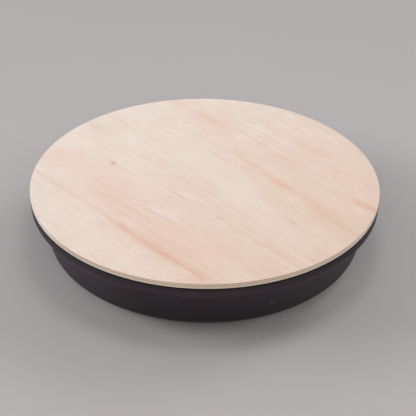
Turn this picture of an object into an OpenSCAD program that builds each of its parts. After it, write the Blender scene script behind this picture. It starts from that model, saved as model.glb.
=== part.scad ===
// Round balance board: a plywood deck screwed to a black dish with a shallow rounded bottom.
// Sizes are in millimetres. +Z is up. The origin is on the floor, under the middle of the board.

/* [Deck] */
// Diameter of the plywood deck and of the black rim under it
deck_d = 800; // [780:10:900]
// Thickness of the plywood deck
deck_t = 12; // [10:0.5:18]
// Radius of the sanded edge of the deck's two outer plies
deck_edge_r = 1; // [0.4:0.1:1.6]
// Height of the deck's top above the floor
board_h = 165; // [160:1:200]

/* [Rim] */
// Thickness of the sealing strip between deck and rim ring
seal_t = 1.5; // [1:0.5:3]
// How far the sealing strip stays back from the deck's edge
seal_inset = 4; // [2:0.5:6]
// Thickness of the black rim ring
ring_t = 18; // [15:1:21]
// Width of the rim ring, from its outer edge inwards
ring_w = 50; // [44:1:60]

/* [Dish] */
// Thickness of the dish's wall and bottom
wall_t = 5; // [4:0.5:6]
// Thickness of the dish's flange under the rim ring
flange_t = 3; // [2.5:0.5:5]
// How far the flange stands out past the wall
flange_w = 16; // [15:0.5:20]
// Diameter of the dish at its rounded lower edge
lower_d = 730; // [720:2:750]
// Radius of the rounded lower edge
lower_r = 20; // [15:1:24]
// Height of the middle of the rounded lower edge above the floor
lower_h = 47; // [44:1:60]

/* [Floor pad] */
// Diameter of the rubber pad under the middle of the dish
pad_d = 120; // [90:2:130]
// Thickness of the rubber pad
pad_t = 4; // [3:0.5:5]
// How far the pad stands proud of the dish's bottom
pad_proud = 1.5; // [1:0.5:2.5]
// Number of grip grooves round the pad
groove_count = 3; // [1:1:3]

/* [Ribs] */
// Thickness of the two crossed plywood ribs
rib_t = 18; // [15:1:20]
// Length of each rib
rib_len = 676; // [640:2:680]
// Thickness of the soft strips between ribs and dish
strip_t = 3; // [2:0.5:4]

/* [Fasteners] */
// Number of screws through the dish's flange
flange_screw_count = 16; // [8:2:24]
// Number of screws through the rim ring into the deck
ring_screw_count = 12; // [8:2:16]

/* [Hidden] */

// Facets round a big ring, a small round part and an arc in a profile
big_fn = 180;
small_fn = 32;
arc_steps = 12;

// Gap left round a part that stands in a hole or slot
gap = 0.1;
// How far a cutting shape runs past the surface that it cuts
over = 1;

// Colours
veneer_colour = [0.92, 0.85, 0.79];
cross_ply_colour = [0.76, 0.66, 0.57];
core_ply_colour = [0.70, 0.58, 0.49];
seal_colour = [0.09, 0.08, 0.09];
ring_colour = [0.17, 0.16, 0.17];
dish_colour = [0.23, 0.22, 0.24];
rubber_colour = [0.12, 0.12, 0.12];
rib_colour = [0.80, 0.70, 0.58];
steel_colour = [0.70, 0.71, 0.73];
black_steel_colour = [0.20, 0.20, 0.21];

// Heights, from the top down
deck_r = deck_d / 2;
ply_count = 5;
ply_t = deck_t / ply_count;
deck_z = board_h - deck_t;
ring_top = deck_z - seal_t;
ring_z = ring_top - ring_t;
flange_z = ring_z - flange_t;
ring_inner_r = deck_r - ring_w;
ring_edge_r = 0.8;

// Floor pad and its seat in the dish
pad_r = pad_d / 2;
pad_chamfer = 1;
pad_seat_r = pad_r + 0.5;
groove_w = 2;
groove_depth = 0.8;
groove_step = 14;
groove_first_r = 20;

// Outline of the dish: a domed bottom, a rounded lower edge and a wall that leans in going down.
// The dome's circle touches the lower edge's circle, and the wall is their tangent.
wall_top_r = deck_r - flange_w;
lower_c = lower_d / 2 - lower_r;
dome_r = (pow(lower_c, 2) + pow(lower_h - pad_proud, 2) - pow(lower_r, 2))
         / (2 * (lower_h - pad_proud - lower_r));
dome_h = pad_proud + dome_r;
dome_angle = asin(lower_c / (dome_r - lower_r));
wall_rise = flange_z - lower_h;
wall_run = wall_top_r - lower_c;
wall_lean = acos(lower_r / norm([wall_run, wall_rise])) - atan2(wall_rise, wall_run);
wall_fillet = 2;
flange_edge_r = 1.2;

// Boss inside the dish, over the pad's seat
boss_r = pad_r + 14;
boss_top = pad_t + wall_t;

// Ribs, their brackets and the soft strips under them
rib_top = deck_z;
rib_lap_z = (boss_top + rib_top) / 2;
strip_start = boss_r + 6;
strip_end = rib_len / 2 - 4;
bracket_l = 30;
bracket_leg = 24;
bracket_t = 2;
bracket_places = [120, 260];
bracket_hole = bracket_leg / 2 + bracket_t / 2;
arms_lengthwise = [0, 180];
arms_crosswise = [90, 270];
all_arms = concat(arms_lengthwise, arms_crosswise);

// Screws: shank diameter, length, head diameter, head height
flange_screw = [4, 15, 8, 2.6];
ring_screw = [4, 25.5, 8, 2.4];
bracket_screw = [3.5, 10, 6.8, 2.1];
flange_screw_r = deck_r - flange_w / 2;
ring_screw_r = ring_inner_r + 18;
washer_t = 0.8;
washer_r = 4.6;

// Points along an arc, from one angle to another
function arc(centre, r, from, to) =
    [for (i = [0 : arc_steps])
        let (a = from + (to - from) * i / arc_steps)
        centre + r * [cos(a), sin(a)]];

// Outline of the dome, lower edge and wall, moved in by a distance, from start_r at the bottom
// up to the height top_z
function dish_line(inset, start_r, top_z) =
    let (
        start = -90 + asin(start_r / (dome_r - inset)),
        seam = -90 + dome_angle,
        wall_foot = [lower_c, lower_h] + (lower_r - inset) * [cos(wall_lean), -sin(wall_lean)],
        wall_top = wall_foot + (top_z - wall_foot[1]) * [tan(wall_lean), 1]
    )
    concat(arc([0, dome_h], dome_r - inset, start, seam),
           arc([lower_c, lower_h], lower_r - inset, seam, -wall_lean),
           [wall_top]);

// Last value of a list, and a list turned round
function last(list) = list[len(list) - 1];
function turned(list) = [for (i = [len(list) - 1 : -1 : 0]) list[i]];

// Copies round the middle, at a radius
module around(count, r) {
    for (i = [0 : count - 1])
        rotate([0, 0, 360 * i / count])
            translate([r, 0, 0])
                children();
}

// Ring with rounded outer edges, lying on the plane z = 0
module edged_ring(outer_r, inner_r, height, top_round, bottom_round) {
    bottom = bottom_round > 0
        ? arc([outer_r - bottom_round, bottom_round], bottom_round, -90, 0)
        : [[outer_r, 0]];
    top = top_round > 0
        ? arc([outer_r - top_round, height - top_round], top_round, 0, 90)
        : [[outer_r, height]];
    rotate_extrude($fn = big_fn)
        polygon(concat([[inner_r, 0]], bottom, top, [[inner_r, height]]));
}

// Pan-head screw with a cross recess, its head below z = 0 and its point up
module pan_screw(size) {
    shank_r = size[0] / 2;
    point = size[0];
    head_r = size[2] / 2;
    head_h = size[3];
    crown = 0.35 * head_h;
    recess_w = 0.14 * size[2];
    recess_l = 0.56 * size[2];
    difference() {
        rotate_extrude($fn = small_fn)
            polygon([[0, -head_h], [0.55 * head_r, -head_h], [0.88 * head_r, -head_h + crown / 2],
                     [head_r, -head_h + 2 * crown], [head_r, 0], [shank_r, 0],
                     [shank_r, size[1] - point], [0, size[1]]]);
        for (a = [0, 90])
            rotate([0, 0, a])
                translate([-recess_l / 2, -recess_w / 2, -head_h - over])
                    cube([recess_l, recess_w, over + 0.6 * head_h]);
    }
}

// Countersunk screw, its flat head flush with z = 0 and its point up
module flat_screw(size) {
    shank_r = size[0] / 2;
    point = size[0];
    head_r = size[2] / 2;
    recess_w = 0.14 * size[2];
    recess_l = 0.56 * size[2];
    difference() {
        rotate_extrude($fn = small_fn)
            polygon([[0, 0], [head_r, 0], [shank_r, size[3]], [shank_r, size[1] - point],
                     [0, size[1]]]);
        for (a = [0, 90])
            rotate([0, 0, a])
                translate([-recess_l / 2, -recess_w / 2, -over])
                    cube([recess_l, recess_w, over + 0.6 * size[3]]);
    }
}

// Hole for a screw's shank, from z = 0 up to a depth
module shank_hole(size, depth) {
    translate([0, 0, -over])
        cylinder(r = size[0] / 2 + gap, h = over + depth, $fn = small_fn);
}

// Places of the rib brackets, one side of each arm: X runs along the rib, Y away from its face
module at_brackets(arms) {
    for (arm = arms)
        for (place = bracket_places)
            rotate([0, 0, arm])
                translate([place, rib_t / 2, rib_top])
                    children();
}

// Every hole that screws make in the deck, from below
module deck_holes() {
    translate([0, 0, deck_z])
        around(ring_screw_count, ring_screw_r)
            shank_hole(ring_screw, ring_screw[1] - ring_t - seal_t + gap);
    at_brackets(all_arms)
        translate([0, bracket_hole, 0])
            shank_hole(bracket_screw, bracket_screw[1] - bracket_t + gap);
}

// One ply of the deck, counted from the bottom
module ply(place, top_round, bottom_round) {
    difference() {
        translate([0, 0, deck_z + place * ply_t])
            edged_ring(deck_r, 0, ply_t, top_round, bottom_round);
        deck_holes();
    }
}

module deck_face_veneer() {
    color(veneer_colour)
        ply(4, deck_edge_r, 0);
}

module deck_upper_cross_ply() {
    color(cross_ply_colour)
        ply(3, 0, 0);
}

module deck_core_ply() {
    color(core_ply_colour)
        ply(2, 0, 0);
}

module deck_lower_cross_ply() {
    color(cross_ply_colour)
        ply(1, 0, 0);
}

module deck_back_veneer() {
    color(veneer_colour)
        ply(0, 0, deck_edge_r);
}

// Thin foam strip that shows as a dark line under the deck
module rim_seal() {
    color(seal_colour)
        difference() {
            translate([0, 0, ring_top])
                edged_ring(deck_r - seal_inset, ring_inner_r, seal_t, 0, 0);
            translate([0, 0, ring_top])
                around(ring_screw_count, ring_screw_r)
                    shank_hole(ring_screw, seal_t + over);
        }
}

// Black wooden ring that stiffens the deck's edge and takes both rings of screws
module rim_ring() {
    color(ring_colour)
        difference() {
            translate([0, 0, ring_z])
                edged_ring(deck_r, ring_inner_r, ring_t, ring_edge_r, ring_edge_r);
            translate([0, 0, ring_z])
                around(ring_screw_count, ring_screw_r)
                    ring_screw_hole();
            translate([0, 0, ring_z])
                around(flange_screw_count, flange_screw_r)
                    shank_hole(flange_screw, flange_screw[1] - flange_t - washer_t + gap);
        }
}

// Through hole with a countersink that opens downwards
module ring_screw_hole() {
    shank_hole(ring_screw, ring_t + over);
    translate([0, 0, -gap])
        cylinder(r1 = ring_screw[2] / 2 + 2 * gap, r2 = ring_screw[0] / 2 + gap,
                 h = ring_screw[3] + 2 * gap, $fn = small_fn);
}

module ring_screws() {
    color(steel_colour)
        translate([0, 0, ring_z])
            around(ring_screw_count, ring_screw_r)
                flat_screw(ring_screw);
}

// Moulded dish: one outline turned round the middle, with the pad's seat below and a boss above
module dish_shell() {
    outer = dish_line(0, pad_seat_r, flange_z - wall_fillet);
    inner = dish_line(wall_t, boss_r, ring_z);
    outer_top = last(outer);
    fillet = arc(outer_top + [wall_fillet, 0], wall_fillet, 180, 90);
    flange = concat(arc([deck_r - flange_edge_r, flange_z + flange_edge_r], flange_edge_r, -90, 0),
                    [[deck_r, ring_z]]);
    color(dish_colour)
        difference() {
            rotate_extrude($fn = big_fn)
                polygon(concat([[0, pad_t], [pad_seat_r, pad_t]], outer, fillet, flange,
                               turned(inner), [[boss_r, boss_top], [0, boss_top]]));
            translate([0, 0, flange_z])
                around(flange_screw_count, flange_screw_r)
                    shank_hole(flange_screw, flange_t + over);
        }
}

module flange_screws() {
    color(black_steel_colour)
        translate([0, 0, flange_z - washer_t])
            around(flange_screw_count, flange_screw_r)
                pan_screw(flange_screw);
}

module flange_washers() {
    color(steel_colour)
        translate([0, 0, flange_z - washer_t])
            around(flange_screw_count, flange_screw_r)
                difference() {
                    cylinder(r = washer_r, h = washer_t, $fn = small_fn);
                    shank_hole(flange_screw, washer_t + over);
                }
}

// Space inside the dish, above a layer of a given thickness on its inner face
module dish_space(layer) {
    line = dish_line(wall_t + layer, 0, rib_top);
    rotate_extrude($fn = big_fn)
        polygon(concat(line, [[0, rib_top]]));
}

// Flat board on edge along X, shaped below to the dish, before its joints are cut
module rib_board() {
    intersection() {
        translate([-rib_len / 2, -rib_t / 2, 0])
            cube([rib_len, rib_t, rib_top]);
        dish_space(strip_t);
    }
}

// Screw holes in the ribs' sides, for the brackets of the given arms
module rib_holes(arms) {
    at_brackets(arms)
        translate([0, 0, -bracket_hole])
            rotate([90, 0, 0])
                shank_hole(bracket_screw, bracket_screw[1] - bracket_t + gap);
}

// Half-lap slot at the middle of a rib, from one height to another
module lap_slot(from, to) {
    width = rib_t + 2 * gap;
    translate([-width / 2, -width / 2, from])
        cube([width, width, to - from]);
}

module rib_lengthwise() {
    color(rib_colour)
        difference() {
            rib_board();
            lap_slot(rib_lap_z, rib_top + over);
            rib_holes(arms_lengthwise);
        }
}

module rib_crosswise() {
    color(rib_colour)
        difference() {
            rotate([0, 0, 90])
                rib_board();
            lap_slot(0, rib_lap_z);
            rib_holes(arms_crosswise);
        }
}

// Steel angle bracket: one leg on the rib's face, the other under the deck
module bracket() {
    difference() {
        translate([-bracket_l / 2, 0, -bracket_leg])
            cube([bracket_l, bracket_leg, bracket_leg]);
        translate([-bracket_l / 2 - over, bracket_t, -bracket_leg - over])
            cube([bracket_l + 2 * over, bracket_leg, bracket_leg + over - bracket_t]);
        translate([0, bracket_hole, -bracket_t])
            shank_hole(bracket_screw, bracket_t + over);
        translate([0, bracket_t, -bracket_hole])
            rotate([90, 0, 0])
                shank_hole(bracket_screw, bracket_t + over);
    }
}

module rib_brackets() {
    color(steel_colour)
        at_brackets(all_arms)
            bracket();
}

module bracket_deck_screws() {
    color(steel_colour)
        at_brackets(all_arms)
            translate([0, bracket_hole, -bracket_t])
                pan_screw(bracket_screw);
}

module bracket_rib_screws() {
    color(steel_colour)
        at_brackets(all_arms)
            translate([0, bracket_t, -bracket_hole])
                rotate([90, 0, 0])
                    pan_screw(bracket_screw);
}

// Four soft strips between the ribs and the dish
module rib_strips() {
    color(rubber_colour)
        for (arm = all_arms)
            rotate([0, 0, arm])
                difference() {
                    intersection() {
                        translate([strip_start, -rib_t / 2, 0])
                            cube([strip_end - strip_start, rib_t, rib_top]);
                        dish_space(0);
                    }
                    dish_space(strip_t);
                }
}

// Rubber disc with a chamfered rim and round grip grooves on the face that meets the floor
module floor_pad() {
    color(rubber_colour)
        difference() {
            rotate_extrude($fn = big_fn)
                polygon([[0, 0], [pad_r - pad_chamfer, 0], [pad_r, pad_chamfer], [pad_r, pad_t],
                         [0, pad_t]]);
            for (i = [0 : groove_count - 1])
                pad_groove(groove_first_r + i * groove_step);
        }
}

module pad_groove(r) {
    rotate_extrude($fn = big_fn)
        translate([r - groove_w / 2, -over])
            square([groove_w, over + groove_depth]);
}

deck_face_veneer();
deck_upper_cross_ply();
deck_core_ply();
deck_lower_cross_ply();
deck_back_veneer();
rim_seal();
rim_ring();
ring_screws();
dish_shell();
flange_screws();
flange_washers();
rib_lengthwise();
rib_crosswise();
rib_brackets();
bracket_deck_screws();
bracket_rib_screws();
rib_strips();
floor_pad();
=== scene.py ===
"""Looks of the round balance board: materials, floor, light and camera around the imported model."""

import math

import bpy
from mathutils import Euler, Matrix, Vector


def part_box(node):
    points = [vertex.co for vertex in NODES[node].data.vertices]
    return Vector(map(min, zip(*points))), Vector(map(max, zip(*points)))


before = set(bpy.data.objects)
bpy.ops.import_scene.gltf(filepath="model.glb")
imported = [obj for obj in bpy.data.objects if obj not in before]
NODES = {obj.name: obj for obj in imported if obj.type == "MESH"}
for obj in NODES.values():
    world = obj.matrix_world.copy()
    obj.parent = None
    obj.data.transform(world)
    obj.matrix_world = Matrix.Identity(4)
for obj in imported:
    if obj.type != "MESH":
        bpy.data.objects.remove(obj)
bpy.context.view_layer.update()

MM = 0.001

# Places that the materials need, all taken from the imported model
DECK_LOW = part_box("deck_back_veneer")[0].z
DECK_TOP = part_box("deck_face_veneer")[1].z
DECK_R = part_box("deck_face_veneer")[1].x
PLY_COUNT = 5
PLY_T = (DECK_TOP - DECK_LOW) / PLY_COUNT
RING_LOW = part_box("rim_ring")[0].z
RING_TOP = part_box("rim_ring")[1].z
FLANGE_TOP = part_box("dish_shell")[1].z
DISH_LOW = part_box("dish_shell")[0].z

# Direction of the deck's face grain, turned clockwise from +X seen from above
GRAIN_TURN = math.radians(47)


# ---------------------------------------------------------------- node helpers

class Graph:
    """A material's nodes. Values that are sockets are linked; plain values are set on the socket."""

    def __init__(self, name):
        self.mat = bpy.data.materials.new(name)
        self.mat.use_nodes = True
        self.tree = self.mat.node_tree
        self.tree.nodes.clear()
        self.out = self.tree.nodes.new("ShaderNodeOutputMaterial")

    def add(self, kind, inputs=None, **props):
        """New node with its inputs, by name or number, and its properties set."""
        node = self.tree.nodes.new(kind)
        for key, value in props.items():
            setattr(node, key, value)
        for key, value in (inputs or {}).items():
            self.put(node.inputs[key], value)
        return node

    def put(self, socket, value):
        if isinstance(value, bpy.types.NodeSocket):
            self.tree.links.new(value, socket)
        elif value is not None:
            socket.default_value = value

    def math(self, op, a, b=None, c=None):
        node = self.add("ShaderNodeMath", operation=op)
        for socket, value in zip(node.inputs, (a, b, c)):
            self.put(socket, value)
        return node.outputs[0]

    def limit(self, value):
        """The value, kept between 0 and 1."""
        return self.math("MAXIMUM", self.math("MINIMUM", value, 1.0), 0.0)

    def bell(self, squared):
        """1 at the middle, falling away smoothly with the square of the distance."""
        return self.math("EXPONENT", self.math("MULTIPLY", squared, -1.0))

    def mix(self, fac, a, b):
        """Colour a at 0 and colour b at 1."""
        node = self.add("ShaderNodeMix", data_type="RGBA", blend_type="MIX")
        self.put(node.inputs[0], fac)
        self.put(node.inputs[6], a)
        self.put(node.inputs[7], b)
        return node.outputs[2]

    def remap(self, value, low, high, to_low=0.0, to_high=1.0, smooth=False):
        """Take the range from low to high over to another one, held at its ends."""
        kind = "SMOOTHSTEP" if smooth else "LINEAR"
        node = self.add("ShaderNodeMapRange", interpolation_type=kind)
        for socket, v in zip(node.inputs, (value, low, high, to_low, to_high)):
            self.put(socket, v)
        return node.outputs[0]

    def spread(self, noise, to_low=0.0, to_high=1.0):
        """A noise, whose values mostly lie between 0.3 and 0.7, stretched to another range."""
        return self.remap(noise, 0.3, 0.7, to_low, to_high)

    def place(self):
        """Object position in metres: one vector, then x, y and z."""
        vector = self.add("ShaderNodeTexCoord").outputs["Object"]
        return vector, *self.split(vector)

    def round_way(self, x, y):
        """Distance round the deck's edge, in metres."""
        return self.math("MULTIPLY", self.math("ARCTAN2", y, x), DECK_R)

    def split(self, vector):
        return self.add("ShaderNodeSeparateXYZ", {0: vector}).outputs[:]

    def join(self, x, y, z=0.0):
        return self.add("ShaderNodeCombineXYZ", {0: x, 1: y, 2: z}).outputs[0]

    def noise(self, vector, scale, detail=2.0, roughness=0.5, distortion=0.0):
        node = self.add("ShaderNodeTexNoise",
                        {"Vector": vector, "Scale": scale, "Detail": detail,
                         "Roughness": roughness, "Distortion": distortion})
        return node.outputs[0]

    def stretch(self, vector, factors):
        """The place with each axis times its own factor."""
        return self.add("ShaderNodeVectorMath", {0: vector, 1: factors},
                        operation="MULTIPLY").outputs[0]

    def bump(self, height, distance, strength):
        node = self.add("ShaderNodeBump",
                        {"Height": height, "Distance": distance, "Strength": strength})
        return node.outputs[0]

    def shader(self, color, roughness, normal=None, **constants):
        """Principled shader; a constant's name has _ for each space of its socket's name."""
        node = self.add("ShaderNodeBsdfPrincipled", {"Base Color": color, "Roughness": roughness})
        self.put(node.inputs["Normal"], normal)
        for key, value in constants.items():
            node.inputs[key.replace("_", " ")].default_value = value
        self.tree.links.new(node.outputs[0], self.out.inputs["Surface"])
        return self.mat


def srgb(r, g, b):
    """Linear colour of an sRGB one given from 0 to 255."""
    return tuple(((v / 255 + 0.055) / 1.055) ** 2.4 for v in (r, g, b)) + (1.0,)


def shifted(tone, step):
    """Linear colour of an sRGB tone made lighter or darker by a step, kept above black."""
    return srgb(*(min(max(v + step, 4), 250) for v in tone))


# ---------------------------------------------------------------- wood

# Colours of the deck's face. Painted light turns it from cool and pale at the back left, where
# more light falls, to warm and darker at the front right; the ground colour lies between two ends.
COOL_END = srgb(244, 230, 219)
WARM_END = srgb(231, 205, 187)
PINK = srgb(240, 200, 185)
PALE = srgb(241, 230, 219)
TAN = srgb(220, 196, 170)
STREAK = srgb(232, 168, 128)
RED_STREAK = srgb(228, 156, 124)
LINE = srgb(196, 152, 122)
KNOT = srgb(196, 108, 72)

# Soft bands that run with the grain, in millimetres on the deck: start and end along the grain,
# middle across it at the start and at the end, half width, and strength.
PINK_BANDS = [
    (-370, -120, 206, 202, 26, 0.75),
    (-170, -10, 152, 126, 20, 0.45),
    (-350, -60, -175, -180, 52, 0.55),
    (-120, 250, -222, -206, 40, 0.80),
    (-340, -270, -208, -208, 26, 0.30),
    (60, 330, 238, 238, 44, 0.26),
    (-60, 90, 178, 182, 22, 0.22),
    (120, 300, -150, -170, 24, 0.30),
]
PALE_BANDS = [
    (-160, 120, 42, 34, 42, 0.75),
    (60, 340, 6, -30, 34, 0.70),
    (-330, -170, -10, -6, 46, 0.50),
    (-230, 230, -335, -352, 40, 0.60),
    (-20, 150, -150, -138, 22, 0.30),
    (-60, 60, 290, 300, 40, 0.30),
]
TAN_BANDS = [
    (-390, -300, -27, -27, 30, 0.60),
    (250, 400, 92, 90, 20, 0.60),
    (-330, -230, 110, 112, 24, 0.20),
]
STREAKS = [
    (-30, 150, 129, 112, 9, 0.56),
    (110, 300, 113, 104, 15, 0.56),
    (25, 90, 203, 205, 9, 0.62),
    (30, 120, 279, 290, 12, 0.50),
    (230, 390, 96, 84, 10, 0.34),
    (-170, -105, 59, 57, 3, 0.34),
]
RED_STREAKS = [
    (10, 300, -266, -258, 12, 0.60),
    (20, 290, -267, -260, 5, 0.30),
    (-300, 40, -270, -267, 6, 0.40),
    (60, 210, -280, -264, 6, 0.30),
    (285, 400, 185, 197, 10, 0.85),
    (-250, -150, 204, 203, 12, 0.40),
    (132, 152, -85, -85, 3.5, 0.60),
]
DARK_LINES = [
    (138, 395, -85, -89, 1.5, 0.42),
    (-136, 105, -43, -31, 1.4, 0.30),
    (-30, 75, -92, -82, 1.5, 0.30),
    (-60, 180, -232, -226, 1.4, 0.26),
    (-330, -60, -300, -296, 1.4, 0.24),
    (-10, 120, -178, -170, 1.3, 0.24),
    (180, 330, 62, 50, 1.3, 0.22),
    (-380, -240, 24, 30, 1.4, 0.26),
]
# Knots and marks: place along and across the grain, length, width and darkness
KNOTS = [
    (-193, -116, 8, 6, 0.30),
    (-196, -117, 3.5, 2.5, 0.45),
    (-13, -164, 5, 3.5, 0.28),
    (262, 21, 12, 5, 0.26),
    (-66, -199, 4, 3, 0.22),
    (20, 264, 5, 3, 0.20),
]


def grain_axes(g, x, y):
    """Position along and across the grain."""
    cosine, sine = math.cos(GRAIN_TURN), math.sin(GRAIN_TURN)
    along = g.math("SUBTRACT", g.math("MULTIPLY", x, cosine), g.math("MULTIPLY", y, sine))
    across = g.math("ADD", g.math("MULTIPLY", x, sine), g.math("MULTIPLY", y, cosine))
    return along, across


def soft_band(g, along, across, band, fade):
    """1 inside a band that fades at its ends and sides, 0 outside."""
    start, end, middle, last, half, strength = band
    slant = (last - middle) / (end - start)
    centre = g.math("MULTIPLY_ADD", along, slant, (middle - slant * start) * MM)
    off = g.math("MULTIPLY", g.math("SUBTRACT", across, centre), 1 / (half * MM))
    side = g.bell(g.math("MULTIPLY", off, off))
    reach = min(fade, (end - start) * 0.8)
    head = g.remap(along, (start - reach / 2) * MM, (start + reach / 2) * MM, smooth=True)
    tail = g.remap(along, (end - reach / 2) * MM, (end + reach / 2) * MM, strength, 0.0, smooth=True)
    return g.math("MULTIPLY", side, g.math("MULTIPLY", head, tail))


def bands(g, along, across, rows, fade):
    """All the bands of one list together, never above 1."""
    total = soft_band(g, along, across, rows[0], fade)
    for row in rows[1:]:
        total = g.math("ADD", total, soft_band(g, along, across, row, fade))
    return g.math("MINIMUM", total, 1.0)


def knot_mask(g, along, across, knot):
    """Dark heart of a knot, fading outwards."""
    u, v, length, width, strength = knot
    du = g.math("DIVIDE", g.math("SUBTRACT", along, u * MM), length * MM)
    dv = g.math("DIVIDE", g.math("SUBTRACT", across, v * MM), width * MM)
    off = g.math("ADD", g.math("MULTIPLY", du, du), g.math("MULTIPLY", dv, dv))
    return g.math("MULTIPLY", g.bell(off), strength)


def face_grain(g, vector, x, y):
    """Colour and height of sanded rotary-cut veneer."""
    along, across = grain_axes(g, x, y)
    # The grain wanders a little from side to side
    wander = g.noise(g.join(along, across), 3.0, 2, 0.5)
    wander = g.math("MULTIPLY", g.math("SUBTRACT", wander, 0.5), 0.022)
    ripple = g.noise(g.join(g.math("MULTIPLY", along, 0.45), across), 30, 2, 0.5)
    ripple = g.math("MULTIPLY", g.math("SUBTRACT", ripple, 0.5), 0.006)
    across_w = g.math("ADD", g.math("ADD", across, wander), ripple)

    def grain(run, step, detail, roughness):
        """Noise drawn out along the grain."""
        place = g.join(g.math("MULTIPLY", along, run), g.math("MULTIPLY", across_w, step))
        return g.noise(place, 1, detail, roughness)

    broad = grain(2.5, 16, 3, 0.55)
    middle = grain(7, 75, 3, 0.6)
    fine = grain(15, 340, 3, 0.65)
    thread = grain(20, 150, 3, 0.65)
    hair = grain(40, 1500, 2, 0.6)
    mottle = g.noise(vector, 22, 4, 0.62)
    pores = g.noise(vector, 2600, 1, 0.5)

    # Painted light: a straight slope from the pale back left to the darker front right, under the
    # wood's own tone
    warm = g.math("MULTIPLY_ADD", x, 0.78, 0.5)
    warm = g.math("MULTIPLY_ADD", y, -0.74, warm)
    warm = g.math("ADD", warm, g.spread(broad, -0.13, 0.13))
    warm = g.math("ADD", warm, g.spread(middle, -0.17, 0.17))
    warm = g.math("ADD", warm, g.spread(thread, -0.14, 0.14))
    warm = g.math("ADD", warm, g.spread(mottle, -0.15, 0.15))
    color = g.mix(g.limit(warm), COOL_END, WARM_END)

    def tint(rows, target, fade, share, source, low=0.45, high=1.25):
        """Lay one list of bands over the colour, broken up by a noise."""
        mask = g.math("MULTIPLY", bands(g, along, across_w, rows, fade),
                      g.spread(source, low * share, high * share))
        return g.mix(g.math("MINIMUM", mask, 1.0), color, target)

    color = tint(PALE_BANDS, PALE, 140, 0.60, broad)
    color = tint(TAN_BANDS, TAN, 80, 0.50, middle)
    color = tint(PINK_BANDS, PINK, 120, 0.62, middle)
    color = tint(STREAKS, STREAK, 60, 0.50, fine)
    color = tint(RED_STREAKS, RED_STREAK, 60, 0.50, fine)
    color = tint(DARK_LINES, LINE, 40, 0.75, fine, 0.7, 1.1)
    flecks = g.math("MULTIPLY", g.remap(fine, 0.54, 0.8, 0.0, 0.34),
                    g.remap(broad, 0.4, 0.65, 0.35, 1.0))
    color = g.mix(flecks, color, LINE)
    color = g.mix(g.remap(thread, 0.56, 0.8, 0.0, 0.12), color, LINE)
    hairs = g.remap(hair, 0.6, 0.85, 0.0, 0.2)
    color = g.mix(hairs, color, LINE)
    knots = knot_mask(g, along, across, KNOTS[0])
    for knot in KNOTS[1:]:
        knots = g.math("ADD", knots, knot_mask(g, along, across, knot))
    color = g.mix(g.math("MINIMUM", knots, 1.0), color, KNOT)

    height = g.math("SUBTRACT", g.math("MULTIPLY", fine, 0.5), g.math("MULTIPLY", hairs, 1.2))
    height = g.math("MULTIPLY_ADD", pores, 0.25, height)
    height = g.math("SUBTRACT", height, g.math("MULTIPLY", knots, 0.6))
    return color, height


def edge_grain(g, x, y, z, light, dark, turn):
    """Colour and height of a ply's cut edge: darker where it shows end grain."""
    round_way = g.round_way(x, y)
    facing = g.math("COSINE", g.math("ADD", g.math("ARCTAN2", y, x), turn))
    end = g.math("MULTIPLY", facing, facing)
    fibre = g.noise(g.join(g.math("MULTIPLY", round_way, 40), g.math("MULTIPLY", z, 2600)), 1, 3, 0.6)
    pores = g.noise(g.join(g.math("MULTIPLY", round_way, 900), g.math("MULTIPLY", z, 1400)), 1, 2, 0.6)
    patch = g.noise(g.join(g.math("MULTIPLY", round_way, 7), g.math("MULTIPLY", z, 90)), 1, 2, 0.5)
    tone = g.math("ADD", g.math("MULTIPLY", end, 0.45), g.spread(patch, 0.0, 0.3))
    tone = g.math("ADD", tone, g.remap(fibre, 0.35, 0.75, -0.12, 0.3))
    tone = g.math("ADD", tone, g.math("MULTIPLY", end, g.remap(pores, 0.55, 0.8, 0.0, 0.5)))
    color = g.mix(g.limit(tone), light, dark)
    # Thin lines of glue where two plies meet
    level = g.math("DIVIDE", g.math("SUBTRACT", z, DECK_LOW), PLY_T)
    off = g.math("ABSOLUTE", g.math("SUBTRACT", g.math("FRACT", g.math("ADD", level, 0.5)), 0.5))
    inside = g.math("MULTIPLY", g.remap(level, 0.5, 0.6),
                    g.remap(level, PLY_COUNT - 0.6, PLY_COUNT - 0.5, 1.0, 0.0))
    glue = g.math("MULTIPLY", g.remap(off, 0.0, 0.15, 1.0, 0.0, smooth=True), inside)
    color = g.mix(g.math("MULTIPLY", glue, 0.55), color, srgb(128, 86, 62))
    # Painted light and shade: the edge is greyer on its left and paler at both its ends.
    # Tones set by place to match the photo, where they may be light: greyer left, paler ends
    grey = g.remap(x, -0.3, -0.05, 0.33, 0.0, smooth=True)
    color = g.mix(grey, color, srgb(150, 150, 154))
    pale = g.remap(g.math("ABSOLUTE", x), 0.27, 0.35, 0.0, 0.5, smooth=True)
    color = g.mix(pale, color, srgb(234, 230, 232))
    height = g.math("SUBTRACT", g.math("MULTIPLY", pores, 0.5), g.math("MULTIPLY", glue, 0.6))
    return color, height


def ply_material(name, light, dark, turn, faces=False):
    """A ply of the deck. Outer plies also show a face."""
    g = Graph(name)
    vector, x, y, z = g.place()
    color, height = edge_grain(g, x, y, z, light, dark, turn)
    if faces:
        face_color, face_height = face_grain(g, vector, x, y)
        up = g.math("ABSOLUTE", g.split(g.add("ShaderNodeTexCoord").outputs["Normal"])[2])
        flat = g.remap(up, 0.35, 0.9, smooth=True)
        color = g.mix(flat, color, face_color)
        height = g.add("ShaderNodeMix", {0: flat, 2: height, 3: face_height}).outputs[0]
    rough = g.spread(g.noise(vector, 60, 2), 0.56, 0.68)
    return g.shader(color, rough, g.bump(height, 0.00010, 0.45), Specular_IOR_Level=0.22)


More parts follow.
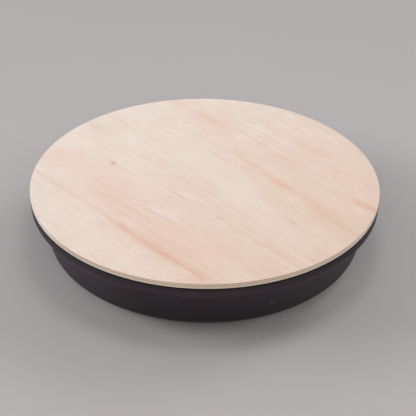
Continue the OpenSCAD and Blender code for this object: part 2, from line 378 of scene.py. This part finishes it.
def board_material(name, light, dark):
    """Bare plywood of the hidden ribs: layered on edge, with long grain on its faces."""
    g = Graph(name)
    vector = g.place()[0]
    grain = g.noise(g.stretch(vector, (9, 9, 220)), 1, 3, 0.6)
    layers = g.noise(g.stretch(vector, (380, 380, 3)), 1, 1, 0.4)
    tone = g.math("ADD", g.spread(grain, 0.0, 0.6), g.remap(layers, 0.4, 0.6, 0.0, 0.4))
    color = g.mix(g.math("MINIMUM", tone, 1.0), light, dark)
    return g.shader(color, 0.7, g.bump(grain, 0.0002, 0.6), Specular_IOR_Level=0.25)


# ---------------------------------------------------------------- black parts

# One pale chip on the front of the dish's wall
CHIP_PLACE = (0.1434, -0.3422, 0.0725)
CHIP_R = 4 * MM
# Distance from the middle where the dish's two sides start, and where they are full
SIDE_START = 80 * MM
SIDE_FULL = 260 * MM


def scuffs(g, vector, scale, low, high):
    """Faint scuff marks that run in all directions."""
    a = g.noise(g.stretch(vector, (1, 6, 9)), scale, 4, 0.7, 0.6)
    b = g.noise(g.stretch(vector, (7, 1, 5)), scale, 4, 0.7, 0.4)
    return g.remap(g.math("MAXIMUM", a, b), low, high)


def rim_material(name):
    """Black stained wood, sealed matt, with the grain just showing, its corners worn and painted shade
    under the deck.
    """
    g = Graph(name)
    vector, x, y, z = g.place()
    round_way = g.round_way(x, y)
    grain = g.noise(g.join(g.math("MULTIPLY", round_way, 14), g.math("MULTIPLY", z, 900)), 1, 3, 0.6)
    patch = g.noise(vector, 9, 3, 0.6)
    color = g.mix(g.spread(patch), srgb(43, 32, 39), srgb(57, 44, 52))
    color = g.mix(g.remap(grain, 0.5, 0.8, 0.0, 0.35), color, srgb(72, 63, 68))
    low = g.remap(z, RING_LOW, RING_LOW + 1.8 * MM, 1.0, 0.0, smooth=True)
    rub = g.math("MULTIPLY", low, g.remap(g.noise(vector, 40, 4, 0.7), 0.35, 0.75, 0.0, 0.6))
    color = g.mix(rub, color, srgb(92, 86, 88))
    color = g.mix(g.math("MULTIPLY", scuffs(g, vector, 30, 0.66, 0.86), 0.35), color, srgb(96, 92, 94))
    # Painted shade: dark just under the deck, where it overhangs the ring, and reaching lower at the
    # two sides: set by place to match the photo, where it may be shadow
    gap = g.remap(z, RING_TOP - 6.5 * MM, RING_TOP - 1.5 * MM, 0.0, 0.9, smooth=True)
    deep = g.math("MULTIPLY", g.remap(z, RING_LOW, RING_TOP - 5 * MM, 0.0, 0.7, smooth=True),
                  g.remap(g.math("ABSOLUTE", x), 0.12, 0.3, smooth=True))
    color = g.mix(g.math("MAXIMUM", gap, deep), color, srgb(9, 7, 8))
    height = g.math("ADD", g.math("MULTIPLY", grain, 0.6), g.noise(vector, 900, 2, 0.6))
    rough = g.spread(patch, 0.5, 0.62)
    return g.shader(color, rough, g.bump(height, 0.0001, 0.5), Specular_IOR_Level=0.4)


def dish_material(name):
    """Black moulded plastic with a fine grained texture and handling marks; its wall has painted
    shade, painted light and a painted highlight.
    """
    g = Graph(name)
    vector, x, y, z = g.place()
    side = g.math("ABSOLUTE", x)
    radius = g.math("SQRT", g.math("ADD", g.math("MULTIPLY", x, x), g.math("MULTIPLY", y, y)))
    cloud = g.noise(vector, 6, 3, 0.55)
    speck = g.noise(vector, 1100, 2, 0.6)
    grit = g.noise(vector, 260, 3, 0.65)
    tinge = g.noise(vector, 11, 3, 0.6)
    color = g.mix(g.remap(tinge, 0.35, 0.65), srgb(48, 36, 41), srgb(42, 39, 45))
    color = g.mix(g.spread(cloud, 0.0, 0.7), color, srgb(62, 51, 58))
    # Painted shade: the wall is darker towards its foot
    shade = g.math("MULTIPLY", g.remap(z, DISH_LOW + 40 * MM, FLANGE_TOP, 0.5, 0.0),
                   g.remap(z, DISH_LOW + 18 * MM, DISH_LOW + 35 * MM, 0.25, 1.0))
    color = g.mix(shade, color, srgb(12, 10, 11))
    color = g.mix(g.remap(speck, 0.5, 0.8, 0.0, 0.22), color, srgb(74, 70, 73))
    # A pale bloom just below the flange thins out downwards
    top_bloom = g.remap(z, FLANGE_TOP - 30 * MM, FLANGE_TOP, 0.0, 1.0, smooth=True)
    top_bloom = g.math("MULTIPLY", top_bloom, g.remap(grit, 0.35, 0.7, 0.1, 0.4))
    color = g.mix(top_bloom, color, srgb(84, 79, 81))
    # Painted light: the wall is paler towards its two sides, where the side light falls. The wall
    # is paler towards its two sides: set by place to match the photo, may be light there
    side_light = g.remap(side, SIDE_START, SIDE_FULL, 0.0, 0.036, smooth=True)
    color = g.mix(side_light, color, srgb(140, 134, 138))
    # Painted highlight: a pale line along the flange's outer lower edge, strongest at the two sides
    edge_highlight = g.math("MULTIPLY",
                    g.remap(z, FLANGE_TOP - 2.2 * MM, FLANGE_TOP - 1.2 * MM, 1.0, 0.0),
                    g.remap(radius, DECK_R - 3.5 * MM, DECK_R - 1.5 * MM))
    side_highlight = g.remap(side, SIDE_START, SIDE_FULL, 0.05, 0.6, smooth=True)
    edge_highlight = g.math("MULTIPLY", g.math("MULTIPLY", edge_highlight, side_highlight), g.remap(grit, 0.3, 0.6, 0.5, 1.0))
    color = g.mix(edge_highlight, color, srgb(132, 124, 128))
    # Rolling wears a dull ring into the bottom round the pad
    low = g.remap(z, DISH_LOW, DISH_LOW + 12 * MM, 1.0, 0.0, smooth=True)
    turning = g.noise(g.join(g.math("MULTIPLY", radius, 420), g.math("MULTIPLY", cloud, 3)), 1, 4, 0.7)
    wear = g.math("MULTIPLY", low, g.remap(turning, 0.45, 0.75, 0.05, 0.7))
    color = g.mix(wear, color, srgb(98, 94, 95))
    marks = scuffs(g, vector, 16, 0.64, 0.86)
    color = g.mix(g.math("MULTIPLY", marks, 0.3), color, srgb(104, 98, 100))
    chip = g.add("ShaderNodeVectorMath", {0: vector, 1: CHIP_PLACE},
                 operation="DISTANCE").outputs["Value"]
    chip = g.remap(chip, 0.0, CHIP_R, 0.55, 0.0, smooth=True)
    color = g.mix(chip, color, srgb(150, 146, 146))
    rough = g.math("ADD", g.spread(cloud, 0.42, 0.54), g.math("MULTIPLY", wear, 0.12))
    height = g.math("ADD", g.math("MULTIPLY", speck, 0.6), g.math("MULTIPLY", grit, 0.5))
    height = g.math("SUBTRACT", height, g.math("MULTIPLY", marks, 0.4))
    return g.shader(color, rough, g.bump(height, 0.00014, 0.55), Specular_IOR_Level=0.24)


def rubber_material(name, tone, cell=420):
    """Matt rubber or foam with fine open grain and a dusty bloom."""
    g = Graph(name)
    vector = g.place()[0]
    cells = g.add("ShaderNodeTexVoronoi", {"Vector": vector, "Scale": cell}).outputs["Distance"]
    bloom = g.noise(vector, 22, 4, 0.65)
    color = g.mix(g.remap(bloom, 0.35, 0.75, 0.0, 0.6), srgb(*tone), shifted(tone, 26))
    color = g.mix(g.remap(cells, 0.0, 0.5, 0.35, 0.0), color, shifted(tone, -14))
    return g.shader(color, g.spread(bloom, 0.72, 0.88), g.bump(cells, 0.0003, 0.6),
                    Specular_IOR_Level=0.3)


# ---------------------------------------------------------------- metal

def steel_material(name, tone, metallic, low, high):
    """Plated steel with fine drawn lines, clouding and small scratches."""
    g = Graph(name)
    vector = g.place()[0]
    drawn = g.noise(g.stretch(vector, (1, 1, 7)), 700, 3, 0.6)
    cloud = g.noise(vector, 90, 3, 0.6)
    color = g.mix(g.spread(cloud), srgb(*tone), shifted(tone, -34))
    color = g.mix(g.remap(drawn, 0.55, 0.8, 0.0, 0.4), color, shifted(tone, 24))
    return g.shader(color, g.spread(cloud, low, high), g.bump(drawn, 0.00005, 0.5),
                    Metallic=metallic)


# ---------------------------------------------------------------- put the materials on the model

# Cut edges of the plies, light along the grain and dark at the end grain. EDGE is for the cross
# plies and the back veneer, CORE for the core ply and the face veneer.
EDGE_LIGHT = srgb(253, 243, 229)
EDGE_DARK = srgb(230, 202, 176)
CORE_LIGHT = srgb(238, 210, 182)
CORE_DARK = srgb(206, 168, 138)
ACROSS = GRAIN_TURN + math.pi / 2

steel = steel_material("zinc_steel", (196, 198, 204), 1.0, 0.26, 0.42)
cross_ply = ply_material("cross_ply", EDGE_LIGHT, EDGE_DARK, ACROSS)
rib_ply = board_material("rib_ply", srgb(214, 184, 148), srgb(168, 130, 96))

LOOKS = {
    "deck_face_veneer": ply_material("face_veneer", CORE_LIGHT, CORE_DARK, GRAIN_TURN, True),
    "deck_upper_cross_ply": cross_ply,
    "deck_core_ply": ply_material("core_ply", CORE_LIGHT, CORE_DARK, GRAIN_TURN),
    "deck_lower_cross_ply": cross_ply,
    "deck_back_veneer": ply_material("back_veneer", EDGE_LIGHT, EDGE_DARK, GRAIN_TURN, True),
    "rim_seal": rubber_material("seal_foam", (26, 22, 23), 900),
    "rim_ring": rim_material("rim_black"),
    "ring_screws": steel,
    "dish_shell": dish_material("dish_black"),
    "flange_screws": steel_material("black_steel", (52, 51, 54), 0.6, 0.35, 0.5),
    "flange_washers": steel,
    "rib_lengthwise": rib_ply,
    "rib_crosswise": rib_ply,
    "rib_brackets": steel,
    "bracket_deck_screws": steel,
    "bracket_rib_screws": steel,
    "rib_strips": rubber_material("strip_rubber", (34, 33, 33)),
    "floor_pad": rubber_material("pad_rubber", (36, 35, 35)),
}

for node, look in LOOKS.items():
    slots = NODES[node].material_slots
    if not slots:
        NODES[node].data.materials.append(look)
    for slot in slots:
        slot.material = look


# ---------------------------------------------------------------- floor

# Half the floor's width in metres, and its two tones
FLOOR_HALF = 9.0
FLOOR_DARK = srgb(186, 181, 181)
FLOOR_LIGHT = srgb(191, 186, 186)


def make_floor():
    """Plain pale floor with hardly any tone of its own."""
    mesh = bpy.data.meshes.new("floor")
    corners = [(FLOOR_HALF * x, FLOOR_HALF * y, 0) for x, y in ((-1, -1), (1, -1), (1, 1), (-1, 1))]
    mesh.from_pydata(corners, [], [(0, 1, 2, 3)])
    floor = bpy.data.objects.new("floor", mesh)
    bpy.context.scene.collection.objects.link(floor)
    g = Graph("floor")
    vector = g.place()[0]
    tone = g.noise(vector, 1.5, 3, 0.5)
    color = g.mix(tone, FLOOR_DARK, FLOOR_LIGHT)
    mesh.materials.append(g.shader(color, 0.6, Specular_IOR_Level=0.3))


make_floor()


# ---------------------------------------------------------------- light

COOL = (0.985, 0.985, 1.0)
WARM = (1.0, 0.99, 0.98)
SKY = (0.98, 0.98, 1.0, 1)
SKY_STRENGTH = 0.19

# Large soft lights that all face the deck's middle: name, place, size, watts and tint. The watts
# weren't chosen by hand: a separate program solved them from the photo's brightness for a given
# sky strength, and they were then scaled, together with it, and rounded.
LIGHTS = [
    ("top", (0.15, -0.2, 2.4), (0.7, 0.7), 8, WARM),
    ("left", (-6.4, 0.0, 2.85), (4.0, 2.8), 270, COOL),
    ("right", (6.4, 0.0, 2.85), (4.0, 2.8), 88, WARM),
    ("front", (0.0, -6.4, 4.65), (6.0, 3.2), 162, WARM),
    ("back", (0.0, 7.0, 3.65), (6.0, 2.8), 40, COOL),
    ("back_left", (-4.4, 3.2, 4.25), (2.8, 2.8), 34, COOL),
    ("back_right", (4.4, 3.2, 4.25), (2.8, 2.8), 114, WARM),
]


def area_light(name, place, size, power, color):
    """One soft rectangular light, turned to the deck's middle."""
    data = bpy.data.lights.new(name, "AREA")
    data.shape = "RECTANGLE"
    data.size, data.size_y = size
    data.energy = power
    data.color = color
    light = bpy.data.objects.new(name, data)
    light.location = place
    way = Vector((0, 0, DECK_TOP)) - Vector(place)
    light.rotation_euler = way.to_track_quat("-Z", "Y").to_euler()
    bpy.context.scene.collection.objects.link(light)


for light_row in LIGHTS:
    area_light(*light_row)

world = bpy.data.worlds.new("soft_room")
world.use_nodes = True
world.node_tree.nodes["Background"].inputs["Color"].default_value = SKY
world.node_tree.nodes["Background"].inputs["Strength"].default_value = SKY_STRENGTH
bpy.context.scene.world = world
bpy.context.scene.view_settings.view_transform = "Standard"


# ---------------------------------------------------------------- camera

# The viewpoint: where the camera stands, how far it looks down, how far it turns from straight
# ahead, how it leans, and its sensor and lens in millimetres. A separate program fitted the place,
# the angles and the lens to the photo, and the view was then turned a little by hand.
CAMERA_PLACE = Vector((0.0096, -2.0238, 1.4123))
CAMERA_DOWN = math.radians(33.29)
CAMERA_TURN = math.radians(0.05)
CAMERA_LEAN = math.radians(0.77)
SENSOR_W = 36
LENS = 89.1

lens = bpy.data.cameras.new("camera")
lens.sensor_width = SENSOR_W
lens.lens = LENS
camera = bpy.data.objects.new("camera", lens)
camera.matrix_world = (Matrix.Translation(CAMERA_PLACE)
                       @ Euler((math.pi / 2 - CAMERA_DOWN, 0, CAMERA_TURN)).to_matrix().to_4x4()
                       @ Matrix.Rotation(CAMERA_LEAN, 4, "Z"))
bpy.context.scene.collection.objects.link(camera)
bpy.context.scene.camera = camera
